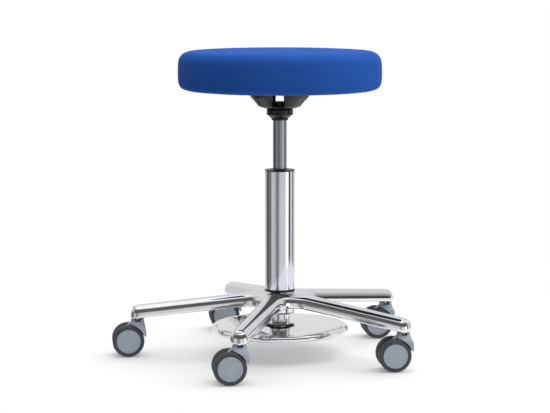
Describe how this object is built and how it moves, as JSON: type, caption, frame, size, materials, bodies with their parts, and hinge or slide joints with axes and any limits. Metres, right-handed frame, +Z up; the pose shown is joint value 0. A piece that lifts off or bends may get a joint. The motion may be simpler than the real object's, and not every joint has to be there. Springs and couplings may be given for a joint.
{
  "type": "dentist stool",
  "caption": "Round padded stool on a gas-spring column with a foot-plate height release, a five-arm cast base and swivelling twin-wheel castors.",
  "frame": {"origin": "middle of the footprint's bounding box, on the floor under the castors; the column axis is 41.0 mm along +X and 6.5 mm along +Y from it, because the five castors trail to one side", "axes": "+Z up along the column, towards the seat; +X to the right and -Y towards the viewer in the front view"},
  "size_m": [0.6082, 0.6138, 0.6225],
  "materials": {
    "polished_aluminium": "polished",
    "brushed_steel": "satin",
    "bright_steel": "satin",
    "black_plastic": "satin",
    "black_enamel": "gloss",
    "blue_leather": "satin",
    "seat_foam": "matte",
    "black_ply": "matte",
    "grey_plastic": "satin",
    "tyre_grey": "matte"
  },
  "bodies": {
    "base": {"star_base": "polished_aluminium", "column_cover": "brushed_steel", "column_lower_ring": "black_plastic", "standpipe": "bright_steel", "column_cap": "black_plastic", "thrust_bearing": "bright_steel", "lever_pivot_pin": "bright_steel", "castor_1_stem": "bright_steel", "castor_2_stem": "bright_steel", "castor_3_stem": "bright_steel", "castor_4_stem": "bright_steel", "castor_5_stem": "bright_steel"},
    "spindle": {"piston_rod": "bright_steel", "rod_clip": "bright_steel"},
    "seat": {"pressure_tube": "brushed_steel", "buffer_ring": "black_plastic", "seat_collar": "black_enamel", "seat_bracket": "black_enamel", "seat_board": "black_ply", "seat_foam": "seat_foam", "seat_cover": "blue_leather", "seat_screw_1": "bright_steel", "seat_screw_2": "bright_steel", "seat_screw_3": "bright_steel", "seat_screw_4": "bright_steel"},
    "foot_plate": {"foot_disc": "polished_aluminium", "release_sleeve": "polished_aluminium", "retaining_ring": "black_enamel"},
    "lever": {"release_lever": "bright_steel"},
    "valve_pin": {"release_pin": "bright_steel"},
    "castor_1": {"castor_1_hood": "grey_plastic", "castor_1_axle": "bright_steel"},
    "castor_1_wheel_a": {"castor_1_wheel_a": "grey_plastic", "castor_1_tyre_a": "tyre_grey"},
    "castor_1_wheel_b": {"castor_1_wheel_b": "grey_plastic", "castor_1_tyre_b": "tyre_grey"},
    "castor_2": {"castor_2_hood": "grey_plastic", "castor_2_axle": "bright_steel"},
    "castor_2_wheel_a": {"castor_2_wheel_a": "grey_plastic", "castor_2_tyre_a": "tyre_grey"},
    "castor_2_wheel_b": {"castor_2_wheel_b": "grey_plastic", "castor_2_tyre_b": "tyre_grey"},
    "castor_3": {"castor_3_hood": "grey_plastic", "castor_3_axle": "bright_steel"},
    "castor_3_wheel_a": {"castor_3_wheel_a": "grey_plastic", "castor_3_tyre_a": "tyre_grey"},
    "castor_3_wheel_b": {"castor_3_wheel_b": "grey_plastic", "castor_3_tyre_b": "tyre_grey"},
    "castor_4": {"castor_4_hood": "grey_plastic", "castor_4_axle": "bright_steel"},
    "castor_4_wheel_a": {"castor_4_wheel_a": "grey_plastic", "castor_4_tyre_a": "tyre_grey"},
    "castor_4_wheel_b": {"castor_4_wheel_b": "grey_plastic", "castor_4_tyre_b": "tyre_grey"},
    "castor_5": {"castor_5_hood": "grey_plastic", "castor_5_axle": "bright_steel"},
    "castor_5_wheel_a": {"castor_5_wheel_a": "grey_plastic", "castor_5_tyre_a": "tyre_grey"},
    "castor_5_wheel_b": {"castor_5_wheel_b": "grey_plastic", "castor_5_tyre_b": "tyre_grey"}
  },
  "joints": [
    {"name": "seat_swivel", "type": "hinge", "parent": "base", "child": "spindle", "pos_m": [0.04098, 0.00647, 0.2], "axis": [0, 0, 1], "continuous": true},
    {"name": "seat_height", "type": "slide", "parent": "spindle", "child": "seat", "axis": [0, 0, 1], "range_m": [-0.09, 0]},
    {"name": "foot_press", "type": "slide", "parent": "base", "child": "foot_plate", "axis": [0, 0, -1], "range_m": [0, 0.005], "stiffness_N_per_m": 9000, "springref_m": -0.005},
    {"name": "lever_turn", "type": "hinge", "parent": "base", "child": "lever", "pos_m": [0.04548, 0.00647, 0.0882], "axis": [0, 1, 0], "range_deg": [0, 34]},
    {"name": "pin_lift", "type": "slide", "parent": "base", "child": "valve_pin", "axis": [0, 0, 1], "range_m": [0, 0.004]},
    {"name": "castor_1_swivel", "type": "hinge", "parent": "base", "child": "castor_1", "pos_m": [-0.03584, -0.27472, 0.065], "axis": [0, 0, 1], "continuous": true},
    {"name": "castor_1_wheel_a_spin", "type": "hinge", "parent": "castor_1", "child": "castor_1_wheel_a", "pos_m": [-0.0554, -0.27702, 0.0325], "axis": [-0.1167, 0.9932, 0], "continuous": true},
    {"name": "castor_1_wheel_b_spin", "type": "hinge", "parent": "castor_1", "child": "castor_1_wheel_b", "pos_m": [-0.0554, -0.27702, 0.0325], "axis": [-0.1167, 0.9932, 0], "continuous": true},
    {"name": "castor_2_swivel", "type": "hinge", "parent": "base", "child": "castor_2", "pos_m": [0.28468, -0.15348, 0.065], "axis": [0, 0, 1], "continuous": true},
    {"name": "castor_2_wheel_a_spin", "type": "hinge", "parent": "castor_2", "child": "castor_2_wheel_a", "pos_m": [0.26511, -0.15578, 0.0325], "axis": [-0.1167, 0.9932, 0], "continuous": true},
    {"name": "castor_2_wheel_b_spin", "type": "hinge", "parent": "castor_2", "child": "castor_2_wheel_b", "pos_m": [0.26511, -0.15578, 0.0325], "axis": [-0.1167, 0.9932, 0], "continuous": true},
    {"name": "castor_3_swivel", "type": "hinge", "parent": "base", "child": "castor_3", "pos_m": [0.26841, 0.18881, 0.065], "axis": [0, 0, 1], "continuous": true},
    {"name": "castor_3_wheel_a_spin", "type": "hinge", "parent": "castor_3", "child": "castor_3_wheel_a", "pos_m": [0.24885, 0.18651, 0.0325], "axis": [-0.1167, 0.9932, 0], "continuous": true},
    {"name": "castor_3_wheel_b_spin", "type": "hinge", "parent": "castor_3", "child": "castor_3_wheel_b", "pos_m": [0.24885, 0.18651, 0.0325], "axis": [-0.1167, 0.9932, 0], "continuous": true},
    {"name": "castor_4_swivel", "type": "hinge", "parent": "base", "child": "castor_4", "pos_m": [-0.06215, 0.27912, 0.065], "axis": [0, 0, 1], "continuous": true},
    {"name": "castor_4_wheel_a_spin", "type": "hinge", "parent": "castor_4", "child": "castor_4_wheel_a", "pos_m": [-0.08172, 0.27682, 0.0325], "axis": [-0.1167, 0.9932, 0], "continuous": true},
    {"name": "castor_4_wheel_b_spin", "type": "hinge", "parent": "castor_4", "child": "castor_4_wheel_b", "pos_m": [-0.08172, 0.27682, 0.0325], "axis": [-0.1167, 0.9932, 0], "continuous": true},
    {"name": "castor_5_swivel", "type": "hinge", "parent": "base", "child": "castor_5", "pos_m": [-0.25019, -0.00736, 0.065], "axis": [0, 0, 1], "continuous": true},
    {"name": "castor_5_wheel_a_spin", "type": "hinge", "parent": "castor_5", "child": "castor_5_wheel_a", "pos_m": [-0.26975, -0.00966, 0.0325], "axis": [-0.1167, 0.9932, 0], "continuous": true},
    {"name": "castor_5_wheel_b_spin", "type": "hinge", "parent": "castor_5", "child": "castor_5_wheel_b", "pos_m": [-0.26975, -0.00966, 0.0325], "axis": [-0.1167, 0.9932, 0], "continuous": true}
  ],
  "couplings": [
    {"joint": "lever_turn", "follows": "foot_press", "rad_per_m": 115.19},
    {"joint": "pin_lift", "follows": "foot_press", "ratio": 0.76}
  ]
}
